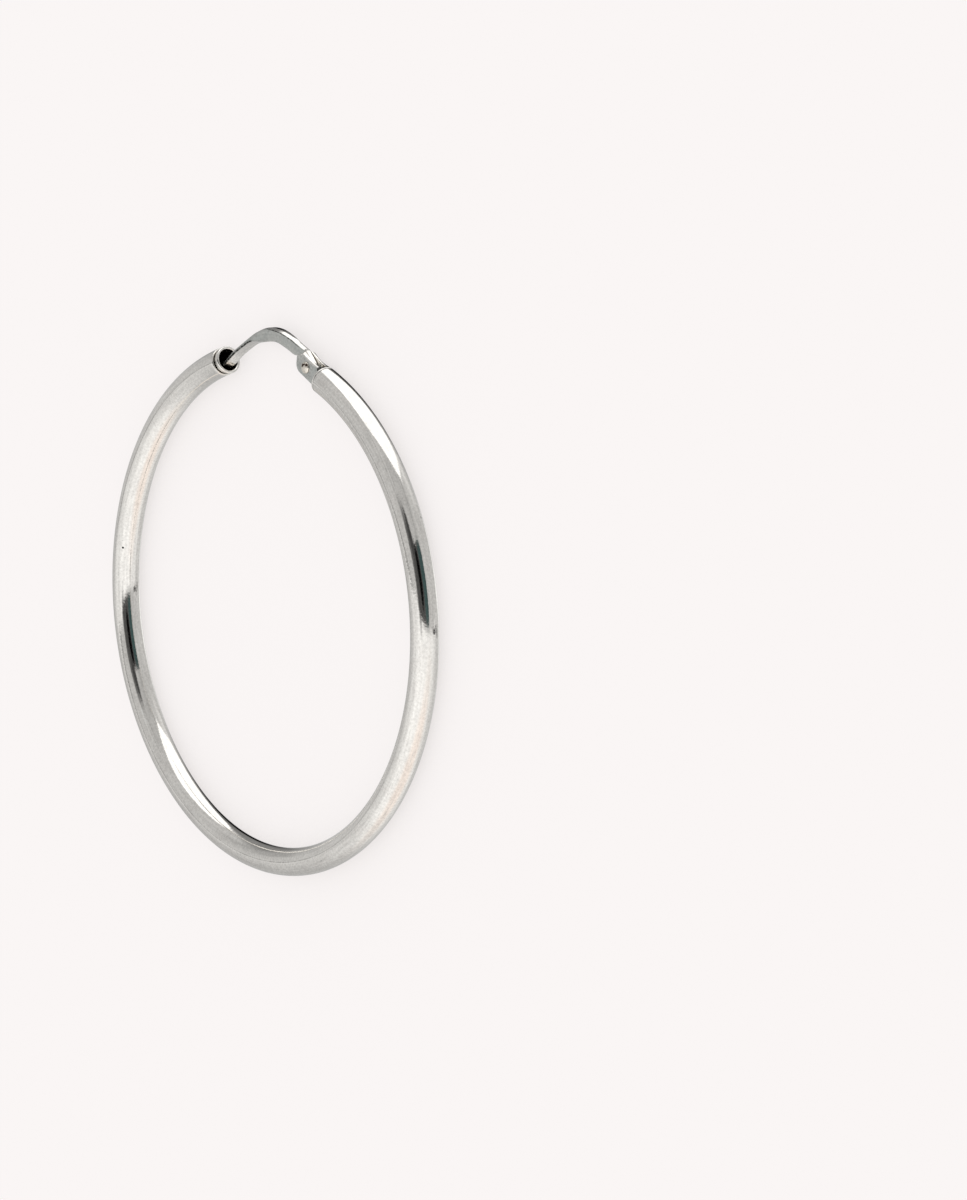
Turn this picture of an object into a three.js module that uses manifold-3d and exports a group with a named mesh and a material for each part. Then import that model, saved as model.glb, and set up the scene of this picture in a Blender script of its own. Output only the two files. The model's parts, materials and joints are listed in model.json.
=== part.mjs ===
// Hinged tube hoop earring, lying on its side. Millimetres, +Z up.
// +Y points at the ear wire, and the tube's underside rests on z = 0. The tube is a bent length of pipe
// with a gap at the +Y side. A flared mouth ring sits in one end of it and a slotted hinge fork in the
// other. The ear wire turns on a rivet in the fork, and its tip drops into the mouth ring.
import * as THREE from 'three';
import { mergeVertices } from 'three/addons/utils/BufferGeometryUtils.js';
import Module from 'manifold-3d';

const wasm = await Module();
wasm.setup();

// Hoop tube
const hoopRadius = 22.5;          // to the middle of the tube
const tubeRadius = 1.25;
const tubeWall = 0.2;
const mouthAngle = 109;           // degrees from +X, where the open end of the tube is
const hingeAngle = 70.5;          // degrees from +X, where the hinge end of the tube is

// Mouth ring, pushed into the open end
const sleeveDepth = 1.2;
const sleeveGap = 0.06;           // between the bore of the tube and what is pushed into it
const ringWall = 0.1;
const lipReach = 0.8;             // how far the lip stands out of the tube
const lipSetback = 0.005;         // how much less the lip's radius is than the tube's
const lipThickness = 0.27;

// Hinge fork, pushed into the other end
const forkReach = 3.45;           // from the tube's end to the nose of the cheeks
const forkStep = 0.17;            // how much less the fork's radius is than the tube's
const forkOffset = 0.13;          // the fork sits this much further out than the tube
const forkTilt = 6;               // degrees that the cheeks lean away from the hoop's centre
const cheekSpread = 1.3;          // over the two cheeks
const slotWidth = 0.62;
const slotDepth = 0.35;           // how far the slot runs back into the tube
const endGap = 0.03;              // between the tube's end face and the fork's and the ring's shoulders
const pivotReach = 1.92;          // rivet, from the tube's end
const pivotRise = 0.3;            // rivet, outwards from the middle of the tube
const noseRise = 0.45;            // tip of the cheeks' nose, outwards from the rivet
const noseSlant = 0.66;           // how far the nose's top corner stands back from its tip
const crestRise = 0.65;           // the nose's top corner, outwards from its tip
const noseLean = 0.1;             // how far the front edge leans back between the tip and the rivet's height
const chinLength = 0.95;          // from the rounded lower corner's start to the nose's tip
const chinDrop = 0.8;             // lower corner's start, inwards from the rivet
const saddleRise = 0.62;          // hollow of the top edge, outwards from the rivet
const saddleReach = 1.15;         // hollow of the top edge, from the tube's end
const rootStep = 0.1;             // how far the top edge starts below the tube's side

// Rivet
const rivetRadius = 0.3;
const rivetHeadRadius = 0.5;
const rivetHeadHeight = 0.22;
const rivetFit = 0.02;            // between the rivet and the cheeks

// Ear wire
const wireWidth = 1.08;           // across the hoop's plane
const wireHeight = 1.25;          // at its deepest, where it is stamped flat
const wireRise = 2.55;            // of its middle line over the line from the rivet to the mouth
const wireEdge = 0.1;             // rounding along its edges
const heelReach = 0.12;           // how far the wire's inner edge runs past the cheeks' nose
const tipHeight = 0.38;
const tipDepth = 0.28;            // how far the tip reaches into the mouth
const tipGap = 0.035;             // between the tip's inner corners and the bore that they drop into
const eyeRadius = 0.68;           // round end of the wire that turns between the cheeks
const tongueGap = 0.04;           // each side of the eye, between the cheeks
const pivotGap = 0.04;            // between the rivet and the hole in the eye
const shoulderGap = 0.09;         // between the wire's shoulder and the cheeks' slanted nose

// Fineness of the faceted forms
const tubeSides = 20;
const boreSides = 12;
const tubeSteps = 80;
const roundSides = 24;
const pinSides = 16;
const lipSteps = 6;
const domeSteps = 4;
const plateSteps = 10;

const mergeDistance = 1e-5;

const rad = THREE.MathUtils.degToRad;

// Silver in the tones that the pieces show
const polished = { metalness: 1, roughness: 0.16 };
const materials = {
  tube: new THREE.MeshStandardMaterial({ color: 0xd2d1cc, ...polished }),
  ring: new THREE.MeshStandardMaterial({ color: 0xc6c5c1, ...polished }),
  fork: new THREE.MeshStandardMaterial({ color: 0xbab9b4, metalness: 1, roughness: 0.26 }),
  rivet: new THREE.MeshStandardMaterial({ color: 0xc2bcae, metalness: 1, roughness: 0.3 }),
  wire: new THREE.MeshStandardMaterial({ color: 0xc4c4bf, metalness: 1, roughness: 0.22 }),
};

// A closed three.js geometry as a solid that can be cut and joined
function solidOf(geometry) {
  const bare = geometry.index ? geometry.toNonIndexed() : geometry.clone();
  bare.deleteAttribute('normal');
  bare.deleteAttribute('uv');
  const merged = mergeVertices(bare, mergeDistance);
  return new wasm.Manifold(new wasm.Mesh({
    numProp: 3,
    vertProperties: new Float32Array(merged.attributes.position.array),
    triVerts: new Uint32Array(merged.index.array),
  }));
}

// A solid back as a three.js geometry
function geometryOf(solid) {
  const mesh = solid.getMesh();
  const geometry = new THREE.BufferGeometry();
  geometry.setAttribute('position', new THREE.BufferAttribute(mesh.vertProperties, 3));
  geometry.setIndex(new THREE.BufferAttribute(mesh.triVerts, 1));
  geometry.computeVertexNormals();
  return geometry;
}

// Axes at an end of the tube: x runs out of the tube into the gap, y away from the hoop's centre
function endFrame(angle, outwards) {
  const a = rad(angle);
  const away = new THREE.Vector3(Math.cos(a), Math.sin(a), 0);
  const along = new THREE.Vector3(-Math.sin(a), Math.cos(a), 0).multiplyScalar(outwards);
  const frame = new THREE.Matrix4().makeBasis(along, away, new THREE.Vector3().crossVectors(along, away));
  return frame.setPosition(away.clone().multiplyScalar(hoopRadius));
}
const mouthFrame = endFrame(mouthAngle, -1);
const hingeFrame = endFrame(hingeAngle, 1);

// A regular polygon with one side square to +X, so that the tube gets a flat strip underneath
function polygon(radius, sides, Kind) {
  const outline = new Kind();
  const corners = Array.from({ length: sides }, (_, i) => {
    const a = (i + 0.5) * 2 * Math.PI / sides;
    return new THREE.Vector2(radius * Math.cos(a), radius * Math.sin(a));
  });
  return outline.setFromPoints(corners);
}

// The hoop's middle line, from the open end the long way round to the hinge end
class HoopLine extends THREE.Curve {
  getPoint(t, target = new THREE.Vector3()) {
    const a = rad(THREE.MathUtils.lerp(mouthAngle, hingeAngle + 360, t));
    return target.set(hoopRadius * Math.cos(a), hoopRadius * Math.sin(a), 0);
  }
}

function hoopTube() {
  const section = polygon(tubeRadius, tubeSides, THREE.Shape);
  section.holes.push(polygon(tubeRadius - tubeWall, boreSides, THREE.Path));
  return new THREE.ExtrudeGeometry(section, { steps: tubeSteps, extrudePath: new HoopLine() });
}

// The largest round bar that goes into the tube's faceted bore with the gap kept
const plugRadius = (tubeRadius - tubeWall) * Math.cos(Math.PI / boreSides) - sleeveGap;
const mouthBore = plugRadius - ringWall;

// A turned profile of [radius, distance along +X], closed on itself or on the axis
function turned(profile, sides) {
  const points = profile.map(([r, x]) => new THREE.Vector2(r, x));
  return new THREE.LatheGeometry(points, sides).rotateZ(-Math.PI / 2);
}

function mouthRing() {
  const lipRadius = tubeRadius - lipSetback;
  const roll = lipThickness / 2;
  const rolled = Array.from({ length: lipSteps + 1 }, (_, i) => {
    const a = Math.PI * i / lipSteps;
    return [lipRadius - roll + roll * Math.cos(a), lipReach - roll + roll * Math.sin(a)];
  });
  const profile = [
    [plugRadius, -sleeveDepth],
    [plugRadius, endGap],
    [(plugRadius + lipRadius) / 2, endGap + roll],
    ...rolled,
    [mouthBore, lipReach / 4],
    [mouthBore, -sleeveDepth],
    [plugRadius, -sleeveDepth],
  ];
  // Half a side's turn brings a flat side underneath, so that the lip stays clear of z = 0
  return turned(profile, roundSides).rotateX(Math.PI / roundSides).applyMatrix4(mouthFrame);
}

// Side view of the cheeks. The top edge is hollowed between the tube and the nose, the nose is cut off
// aslant where the wire's shoulder comes down, and its lower corner is rounded.
const noseTip = new THREE.Vector2(forkReach, pivotRise + noseRise);
const noseTop = new THREE.Vector2(noseTip.x - noseSlant, noseTip.y + crestRise);
function cheekOutline() {
  const below = -2 * tubeRadius;
  const chin = new THREE.Vector2(noseTip.x - chinLength, pivotRise - chinDrop);
  const front = noseTip.x - noseLean;
  const outline = new THREE.Shape();
  outline.moveTo(endGap, below);
  outline.lineTo(chin.x, below);
  outline.lineTo(chin.x, chin.y);
  outline.quadraticCurveTo(front - noseLean, chin.y + noseLean, front, pivotRise);
  outline.lineTo(noseTip.x, noseTip.y);
  outline.lineTo(noseTop.x, noseTop.y);
  outline.quadraticCurveTo(saddleReach, pivotRise + saddleRise, endGap, tubeRadius - rootStep);
  outline.closePath();
  return outline;
}

// An outline in a side view, made a plate of the given width with its middle on the hoop's plane
function plate(outline, width) {
  return new THREE.ExtrudeGeometry(outline, { depth: width, bevelEnabled: false, curveSegments: plateSteps })
    .translate(0, 0, -width / 2);
}

function bar(radius, from, to) {
  return new THREE.CylinderGeometry(radius, radius, to - from, roundSides)
    .rotateZ(-Math.PI / 2)
    .translate((from + to) / 2, 0, 0);
}

function pinHole(radius) {
  return new THREE.CylinderGeometry(radius, radius, 2 * cheekSpread, pinSides).rotateX(Math.PI / 2);
}

function hingeFork() {
  const plug = solidOf(bar(plugRadius, -sleeveDepth, 2 * endGap));
  const round = bar(tubeRadius - forkStep, -forkReach, 2 * forkReach);
  round.rotateZ(rad(forkTilt)).translate(0, forkOffset, 0);
  const head = solidOf(round).intersect(solidOf(plate(cheekOutline(), cheekSpread)));
  const slotLength = 2 * forkReach + slotDepth;
  const slot = new THREE.BoxGeometry(slotLength, 4 * tubeRadius, slotWidth)
    .translate(slotLength / 2 - slotDepth, 0, 0);
  const hole = pinHole(rivetRadius + rivetFit).translate(pivotReach, pivotRise, 0);
  const fork = plug.add(head).subtract(solidOf(slot)).subtract(solidOf(hole));
  return geometryOf(fork).applyMatrix4(hingeFrame);
}

function rivet() {
  const underHead = cheekSpread / 2 + rivetFit;
  const dome = Array.from({ length: domeSteps }, (_, i) => {
    const a = (Math.PI / 2) * i / domeSteps;
    return [rivetHeadRadius * Math.cos(a), underHead + rivetHeadHeight * Math.sin(a)];
  });
  const upper = [[rivetRadius, underHead], ...dome, [0, underHead + rivetHeadHeight]];
  const lower = upper.map(([r, x]) => [r, -x]).reverse();
  const geometry = turned([...lower, ...upper], pinSides);
  return geometry.rotateY(-Math.PI / 2).translate(pivotReach, pivotRise, 0).applyMatrix4(hingeFrame);
}

// The wire's own axes: x from the rivet to the middle of the mouth, y away from the hoop's centre
const pivot = new THREE.Vector3(pivotReach, pivotRise, 0).applyMatrix4(hingeFrame);
const mouth = new THREE.Vector3(lipReach, 0, 0).applyMatrix4(mouthFrame);
const wireSpan = pivot.distanceTo(mouth);
function wireFrame() {
  const along = mouth.clone().sub(pivot).normalize();
  const across = new THREE.Vector3(0, 0, -1);
  const away = new THREE.Vector3().crossVectors(across, along);
  return new THREE.Matrix4().makeBasis(along, away, across).setPosition(pivot);
}
const earFrame = wireFrame();
const intoEarFrame = earFrame.clone().invert();
const inEarFrame = (x, y, frame) => {
  const p = new THREE.Vector3(x, y, 0).applyMatrix4(frame).applyMatrix4(intoEarFrame);
  return new THREE.Vector2(p.x, p.y);
};

// Middle line of the wire and its height there: along is a share of the way from the wire's shoulder to
// the middle of the mouth, rise a share of wireRise and height a share of wireHeight
const wireStations = [
  { along: 0.0885, rise: 0.61, height: 0.84 },
  { along: 0.18, rise: 0.795, height: 0.88 },
  { along: 0.31, rise: 0.985, height: 0.86 },
  { along: 0.444, rise: 0.995, height: 0.97 },
  { along: 0.568, rise: 0.87, height: 0.72 },
  { along: 0.666, rise: 0.73, height: 0.43 },
  { along: 0.752, rise: 0.54, height: 0.36 },
  { along: 0.86, rise: 0.28, height: 0.34 },
  { along: 0.946, rise: 0.02, height: 0.34 },
];

// The wire's shoulder runs along the cheeks' slanted nose with the gap kept
function shoulderPoints() {
  const top = inEarFrame(noseTop.x, noseTop.y, hingeFrame);
  const low = inEarFrame(noseTip.x, noseTip.y, hingeFrame);
  const down = low.clone().sub(top).normalize();
  const off = new THREE.Vector2(-down.y, down.x).multiplyScalar(shoulderGap);
  return { top: top.add(off), low: low.add(off).addScaledVector(down, heelReach) };
}

function wireOutline() {
  const shoulder = shoulderPoints();
  const start = (shoulder.top.x + shoulder.low.x) / 2;
  const middle = wireStations.map((row) => new THREE.Vector2(
    THREE.MathUtils.lerp(start, wireSpan, row.along),
    row.rise * wireRise,
  ));
  const heights = wireStations.map((row) => row.height * wireHeight);
  // The tip lies low in the mouth, with its inner corners just clear of the bore
  const cornerDrop = Math.sqrt((mouthBore - tipGap) ** 2 - (wireWidth / 2) ** 2);
  middle.push(inEarFrame(lipReach - tipDepth, tipHeight / 2 - cornerDrop, mouthFrame));
  heights.push(tipHeight);
  const line = new THREE.SplineCurve(middle);
  const side = (sign) => middle.map((p, i) => {
    const t = line.getTangent(i / (middle.length - 1));
    return new THREE.Vector2(p.x - sign * t.y * heights[i] / 2, p.y + sign * t.x * heights[i] / 2);
  });
  const top = side(1);
  const low = side(-1);
  const outline = new THREE.Shape();
  outline.moveTo(shoulder.top.x, shoulder.top.y);
  outline.splineThru(top);
  outline.lineTo(low.at(-1).x, low.at(-1).y);
  outline.splineThru(low.slice(0, -1).reverse().concat(shoulder.low));
  outline.closePath();
  return { outline, shoulder, top: top[0], low: low[0] };
}

// The flat tongue reaches from inside the wire down between the cheeks and ends round the rivet
function tongueOutline(shoulder, top, low) {
  const leanTop = Math.atan2(shoulder.top.y, shoulder.top.x) + Math.PI / 2;
  const leanLow = Math.atan2(shoulder.low.y, shoulder.low.x) + 1.5 * Math.PI;
  const outline = new THREE.Shape();
  outline.moveTo(top.x, top.y - wireEdge);
  outline.lineTo(shoulder.top.x + wireEdge, shoulder.top.y);
  outline.lineTo(eyeRadius * Math.cos(leanTop), eyeRadius * Math.sin(leanTop));
  outline.absarc(0, 0, eyeRadius, leanTop, leanLow, false);
  outline.lineTo(shoulder.low.x, shoulder.low.y + wireEdge);
  outline.lineTo(low.x, low.y + wireEdge);
  outline.closePath();
  return outline;
}

function earWire() {
  const { outline, shoulder, top, low } = wireOutline();
  const body = new THREE.ExtrudeGeometry(outline, {
    depth: wireWidth - 2 * wireEdge,
    bevelThickness: wireEdge,
    bevelSize: wireEdge,
    bevelOffset: -wireEdge,
    bevelSegments: 2,
    curveSegments: 3,
  }).translate(0, 0, wireEdge - wireWidth / 2);
  const tongue = plate(tongueOutline(shoulder, top, low), slotWidth - 2 * tongueGap);
  const wire = solidOf(body)
    .add(solidOf(tongue))
    .subtract(solidOf(pinHole(rivetRadius + pivotGap)));
  return geometryOf(wire).applyMatrix4(earFrame);
}

const earring = new THREE.Group();
function place(name, geometry, material) {
  const mesh = new THREE.Mesh(geometry, material);
  mesh.name = name;
  earring.add(mesh);
}
place('hoop_tube', hoopTube(), materials.tube);
place('mouth_ring', mouthRing(), materials.ring);
place('hinge_fork', hingeFork(), materials.fork);
place('hinge_rivet', rivet(), materials.rivet);
place('ear_wire', earWire(), materials.wire);

// The origin is under the middle of the outline, and the flat strip under the tube rests on z = 0
const extent = new THREE.Box3().setFromObject(earring);
const centre = extent.getCenter(new THREE.Vector3());
earring.position.set(-centre.x, -centre.y, -extent.min.z);

export default earring;
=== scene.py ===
import json

import bpy
import numpy as np
from mathutils import Matrix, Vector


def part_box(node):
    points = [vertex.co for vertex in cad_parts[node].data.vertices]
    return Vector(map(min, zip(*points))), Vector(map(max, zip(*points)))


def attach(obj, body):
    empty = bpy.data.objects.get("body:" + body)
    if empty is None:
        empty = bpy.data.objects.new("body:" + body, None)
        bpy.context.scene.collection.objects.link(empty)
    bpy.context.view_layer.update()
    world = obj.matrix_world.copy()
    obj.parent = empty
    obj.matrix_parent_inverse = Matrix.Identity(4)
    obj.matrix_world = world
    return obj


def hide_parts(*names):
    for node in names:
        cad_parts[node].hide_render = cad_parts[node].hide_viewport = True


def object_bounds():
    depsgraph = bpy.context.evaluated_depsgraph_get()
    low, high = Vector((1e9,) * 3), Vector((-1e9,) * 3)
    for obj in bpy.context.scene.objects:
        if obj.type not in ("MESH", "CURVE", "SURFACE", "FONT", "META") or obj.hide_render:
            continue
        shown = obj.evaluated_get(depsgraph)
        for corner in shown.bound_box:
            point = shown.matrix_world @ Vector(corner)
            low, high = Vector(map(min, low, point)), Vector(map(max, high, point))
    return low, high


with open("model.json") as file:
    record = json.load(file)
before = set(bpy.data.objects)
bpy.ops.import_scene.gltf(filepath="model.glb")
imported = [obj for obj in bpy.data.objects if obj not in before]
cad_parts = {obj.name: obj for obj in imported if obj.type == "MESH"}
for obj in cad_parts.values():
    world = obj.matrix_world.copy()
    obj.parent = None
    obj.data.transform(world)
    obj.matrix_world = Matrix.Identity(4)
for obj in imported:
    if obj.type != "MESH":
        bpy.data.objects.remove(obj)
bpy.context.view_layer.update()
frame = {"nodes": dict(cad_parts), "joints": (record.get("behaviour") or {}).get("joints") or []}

mm = 0.001  # lengths below are in millimetres, and meshes are in metres
scene = bpy.context.scene
print("frame loaded:", ", ".join(sorted(frame["nodes"])))


# A closed shell from a grid of points [row, column, xyz], where columns run round in rings. Rows either join
# into a ring too, or are capped with a fan round the middle of the first and last ring. The faces are turned
# outwards by the sign of the volume that they enclose.
def shell(points, straight, joinRows=False, tarnishAndShade=0.0, dullAndShade=0.0):
    rows, columns = points.shape[:2]
    index = np.arange(rows * columns).reshape(rows, columns)
    index = np.hstack([index, index[:, :1]])
    if joinRows:
        index = np.vstack([index, index[:1]])
    quads = np.stack([index[:-1, :-1], index[:-1, 1:], index[1:, 1:], index[1:, :-1]], -1).reshape(-1, 4)
    fans = np.zeros((0, 3), int)
    # what every vertex keeps: its place, its place on the straightened piece, its tarnish with painted
    # shade, and its dull finish with painted shade
    kept = np.concatenate([
        points, straight, np.broadcast_to(tarnishAndShade, (rows, columns))[..., None],
        np.broadcast_to(dullAndShade, (rows, columns))[..., None],
    ], -1)
    vertices = kept.reshape(-1, 8)
    if not joinRows:
        first, last = rows * columns, rows * columns + 1
        fans = np.vstack([
            np.stack([np.full(columns, first), index[0, 1:], index[0, :-1]], -1),
            np.stack([np.full(columns, last), index[-1, :-1], index[-1, 1:]], -1),
        ])
        vertices = np.vstack([vertices, kept[[0, -1]].mean(1)])
    triangles = np.vstack([quads[:, [0, 1, 2]], quads[:, [0, 2, 3]], fans])
    a, b, c = (vertices[triangles[:, i], :3] for i in range(3))
    if np.sum(a * np.cross(b, c)) < 0:
        quads, fans = quads[:, ::-1], fans[:, ::-1]
    return {"vertices": vertices, "quads": quads, "fans": fans}


# One object from several shells, with its place in the mesh and the object itself at the origin
def makePiece(name, shells, sharpAngle=None):
    starts = np.cumsum([0] + [len(part["vertices"]) for part in shells])
    faces = []
    for part, start in zip(shells, starts):
        faces += (part["quads"] + start).tolist() + (part["fans"] + start).tolist()
    kept = np.vstack([part["vertices"] for part in shells]).astype(np.float32)
    mesh = bpy.data.meshes.new(name)
    mesh.from_pydata(kept[:, :3] * mm, [], faces)
    mesh.attributes.new("straight", "FLOAT_VECTOR", "POINT").data.foreach_set("vector", kept[:, 3:6].ravel())
    mesh.attributes.new("tarnishAndShade", "FLOAT", "POINT").data.foreach_set("value", kept[:, 6].copy())
    mesh.attributes.new("dullAndShade", "FLOAT", "POINT").data.foreach_set("value", kept[:, 7].copy())
    mesh.shade_smooth()
    if sharpAngle is not None:
        mesh.set_sharp_from_angle(angle=np.radians(sharpAngle))
    piece = bpy.data.objects.new(name, mesh)
    scene.collection.objects.link(piece)
    return piece


# A round bar across the hoop is taken out of a piece
def drill(piece, radius, sharpAngle, halfLength=2, sides=64):
    turn = np.linspace(0, 2 * np.pi, sides, endpoint=False)
    circle = np.stack([pivot[0] + radius * np.cos(turn), pivot[1] + radius * np.sin(turn), 0 * turn], -1)
    bar = np.stack([circle + [0, 0, pivot[2] - halfLength], circle + [0, 0, pivot[2] + halfLength]])
    cutter = makePiece("drillBar", [shell(bar, bar)])
    cut = piece.modifiers.new("hole", "BOOLEAN")
    cut.operation, cut.solver, cut.object = "DIFFERENCE", "EXACT", cutter
    bpy.context.view_layer.update()
    holed = bpy.data.meshes.new_from_object(piece.evaluated_get(bpy.context.evaluated_depsgraph_get()))
    holed.set_sharp_from_angle(angle=np.radians(sharpAngle))
    piece.modifiers.clear()
    piece.data = holed
    bpy.data.objects.remove(cutter)


# Points on the smooth line through the given ones: a uniform Catmull-Rom cubic between each two, where the
# slope at a point is half the way from the one before to the one after, and t counts the points
def throughPoints(points, t):
    k = np.clip(t.astype(int), 0, len(points) - 2)
    f = (t - k)[:, None]
    padded = np.vstack([points[:1], points, points[-1:]])
    before, here, there, after = (padded[k + i] for i in range(4))
    leave, arrive = (there - before) / 2, (after - here) / 2
    cubed = 2 * (here - there) + leave + arrive
    squared = 3 * (there - here) - 2 * leave - arrive
    return cubed * f ** 3 + squared * f ** 2 + leave * f + here


# Closed polygons [row, corner, xy] sampled evenly by length and with their corners rounded: the samples are
# low-passed round the loop by exp(-(2 pi k soften / length)^2 / 2) for the harmonic k
def roundedLoops(corners, count, soften):
    closed = np.concatenate([corners, corners[:, :1]], 1)
    sides = np.linalg.norm(np.diff(closed, axis=1), axis=2)
    reach = np.concatenate([np.zeros((len(corners), 1)), np.cumsum(sides, 1)], 1)
    length = reach[:, -1:]
    wanted = length * np.arange(count)[None] / count
    side = np.sum(reach[:, None, 1:] <= wanted[:, :, None], -1)
    row = np.arange(len(corners))[:, None]
    sideLength = np.maximum(reach[row, side + 1] - reach[row, side], 1e-9)
    share = ((wanted - reach[row, side]) / sideLength)[..., None]
    loops = closed[row, side] * (1 - share) + closed[row, side + 1] * share
    waves = np.fft.fft(loops[..., 0] + 1j * loops[..., 1], axis=1)
    harmonic = np.fft.fftfreq(count, 1 / count)[None]
    waves *= np.exp(-0.5 * (2 * np.pi * harmonic * np.reshape(soften, (-1, 1)) / length) ** 2)
    smooth = np.fft.ifft(waves, axis=1)
    return np.stack([smooth.real, smooth.imag], -1)


# 1 between in and out, falling to 0 at the two ends
def faded(t, start, full, still, end):
    return np.clip((t - start) / (full - start), 0, 1) * np.clip((end - t) / (end - still), 0, 1)


# Points at x along an axis and at radius r round it
def turned(x, r, turn):
    return np.stack(np.broadcast_arrays(x, r * np.cos(turn), r * np.sin(turn)), -1)


# Points of a quadratic curve from start to end
def bowed(start, control, end, count):
    t = np.linspace(0, 1, count)[:, None]
    return (1 - t) ** 2 * np.array(start) + 2 * t * (1 - t) * np.array(control) + t ** 2 * np.array(end)


# The hoop: a bent tube with a gap at its +Y side

hoop = {
    "radius": 22.5,  # to the middle of the tube
    "tube": 1.25,
    "wall": 0.2,
    "mouthAngle": 109.0,  # degrees from +X, where the open end is
    "hingeAngle": 70.5,
    "rimRound": 0.08,
    "groove": (0.2, 0.05, 0.035),  # behind the rim at the hinge: distance, half width, depth
    # painted shade in the groove
    "grooveShade": 0.6,
    "fineStretch": 0.5,  # at the hinge, where the rows are closer
    "fineRows": 20,
    "rowsOutside": 560,
    "rowsInside": 140,
    "columns": 80,
}

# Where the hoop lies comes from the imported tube, whose flats are this far from its middle
flatRadius = hoop["tube"] * np.cos(np.pi / 20)
tubeLow, tubeHigh = (np.array(corner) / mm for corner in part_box("hoop_tube"))
hoopCentre = np.array([
    (tubeLow[0] + tubeHigh[0]) / 2,
    tubeLow[1] + hoop["radius"] + flatRadius,
    (tubeLow[2] + tubeHigh[2]) / 2,
])
pivot = np.array(frame["joints"][0]["pos_m"]) / mm


# Axes at an end of the tube: out of it into the gap, away from the hoop's centre, and across the hoop
def endAxes(angle, sense):
    a = np.radians(angle)
    away = np.array([np.cos(a), np.sin(a), 0.0])
    along = sense * np.array([-np.sin(a), np.cos(a), 0.0])
    return np.array([along, away, np.cross(along, away)])


mouthAxes = endAxes(hoop["mouthAngle"], -1)
hingeAxes = endAxes(hoop["hingeAngle"], 1)
mouthSpot = hoopCentre + hoop["radius"] * mouthAxes[1]
hingeSpot = hoopCentre + hoop["radius"] * hingeAxes[1]


# The tube is the ring of its two walls carried round the hoop. With s the length along the middle line and r
# the radius in the section, a point is at angle s / R round the hoop, R + r cos(turn) from its centre and
# r sin(turn) above its plane. s and r run down the outside, round the rim, back up the bore and round the
# other rim. A shallow groove exp(-((s - place) / half width)^2) goes round it behind the rim at the hinge.
def hoopTubeShell():
    bend, outer, rim = hoop["radius"], hoop["tube"], hoop["rimRound"]
    inner = outer - hoop["wall"]
    start, stop = np.radians([hoop["mouthAngle"], hoop["hingeAngle"] + 360])
    total = bend * (stop - start)
    round90 = np.radians(np.linspace(0, 90, 5))
    rimS = total - rim + rim * np.concatenate([np.sin(round90), np.cos(round90)])
    rimR = np.concatenate([outer - rim + rim * np.cos(round90), inner + rim - rim * np.sin(round90)])
    fineFrom = total - hoop["fineStretch"]
    down = np.linspace(rim, fineFrom, hoop["rowsOutside"])[1:-1]
    down = np.append(down, np.linspace(fineFrom, total - rim, hoop["fineRows"])[:-1])
    back = np.linspace(total - rim, rim, hoop["rowsInside"])[1:-1]
    s = np.concatenate([down, rimS, back, total - rimS[::-1]])
    grooveAt, grooveHalf, grooveDepth = hoop["groove"]
    groove = np.exp(-((total - down - grooveAt) / grooveHalf) ** 2)
    r = np.concatenate([outer - grooveDepth * groove, rimR, np.full(len(back), inner), rimR[::-1]])
    turn = np.linspace(0, 2 * np.pi, hoop["columns"], endpoint=False)
    round_ = start + s / bend
    fromCentre = bend + r[:, None] * np.cos(turn)
    points = np.stack([
        fromCentre * np.cos(round_)[:, None],
        fromCentre * np.sin(round_)[:, None],
        r[:, None] * np.sin(turn),
    ], -1) + hoopCentre
    straight = turned(s[:, None], r[:, None], turn)
    # painted shade: the bore is painted black, and the groove behind the rim at the hinge darker
    tarnishAndShade = np.clip((outer - r) / hoop["wall"] * 2 - 1, 0, 1)[:, None]
    tarnishAndShade[:len(down), 0] = hoop["grooveShade"] * groove
    return shell(points, straight, joinRows=True, tarnishAndShade=tarnishAndShade)


hoopTube = makePiece("hoopTube", [hoopTubeShell()])
print("hoop tube made")


# The mouth ring in the tube's open end

ring = {
    "plug": 0.954,
    "bore": 0.854,
    "depth": 1.2,
    "reach": 0.8,
    "lip": 1.245,
    "roll": 0.135,
    "start": 0.03,
    "soften": 0.02,
    "shadedRadius": 0.95,  # the bore is painted dark with shade within this radius
    "shadedReach": 0.62,  # and as far out as this
    "grooveShade": 0.2,  # painted shade where the lip meets the tube
    "samples": 150,
    "columns": 96,
}


# The ring's wall section [radius, distance out of the tube], rounded and turned about the tube's end
def mouthRingShell():
    plug, bore, roll = ring["plug"], ring["bore"], ring["roll"]
    half = np.radians(np.linspace(0, 180, 13))
    rollMiddle = np.array([ring["lip"] - roll, ring["reach"] - roll])
    rolled = rollMiddle + roll * np.stack([np.cos(half), np.sin(half)], -1)
    profile = np.vstack([
        [[plug, -ring["depth"]], [plug, ring["start"]], [(plug + ring["lip"]) / 2, ring["start"] + roll]],
        rolled,
        [[bore, ring["reach"] / 4], [bore, -ring["depth"]]],
    ])
    loop = roundedLoops(profile[None], ring["samples"], ring["soften"])[0]
    r, x = loop[:, :1], loop[:, 1:]
    turn = np.linspace(0, 2 * np.pi, ring["columns"], endpoint=False)[None]
    local = turned(x, r, turn)
    # painted shade: the bore darkened, and a dark line where the lip meets the tube
    inside = np.clip((ring["shadedRadius"] - r) / 0.05, 0, 1)
    inside = inside * np.clip((ring["shadedReach"] - x) / 0.2, 0, 1)
    groove = np.clip((0.16 - x) / 0.08, 0, 1) * ring["grooveShade"]
    return shell(local @ mouthAxes + mouthSpot, local, joinRows=True, tarnishAndShade=np.maximum(inside, groove))


mouthRing = makePiece("mouthRing", [mouthRingShell()])
print("mouth ring made")


# The hinge fork in the other end

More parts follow.
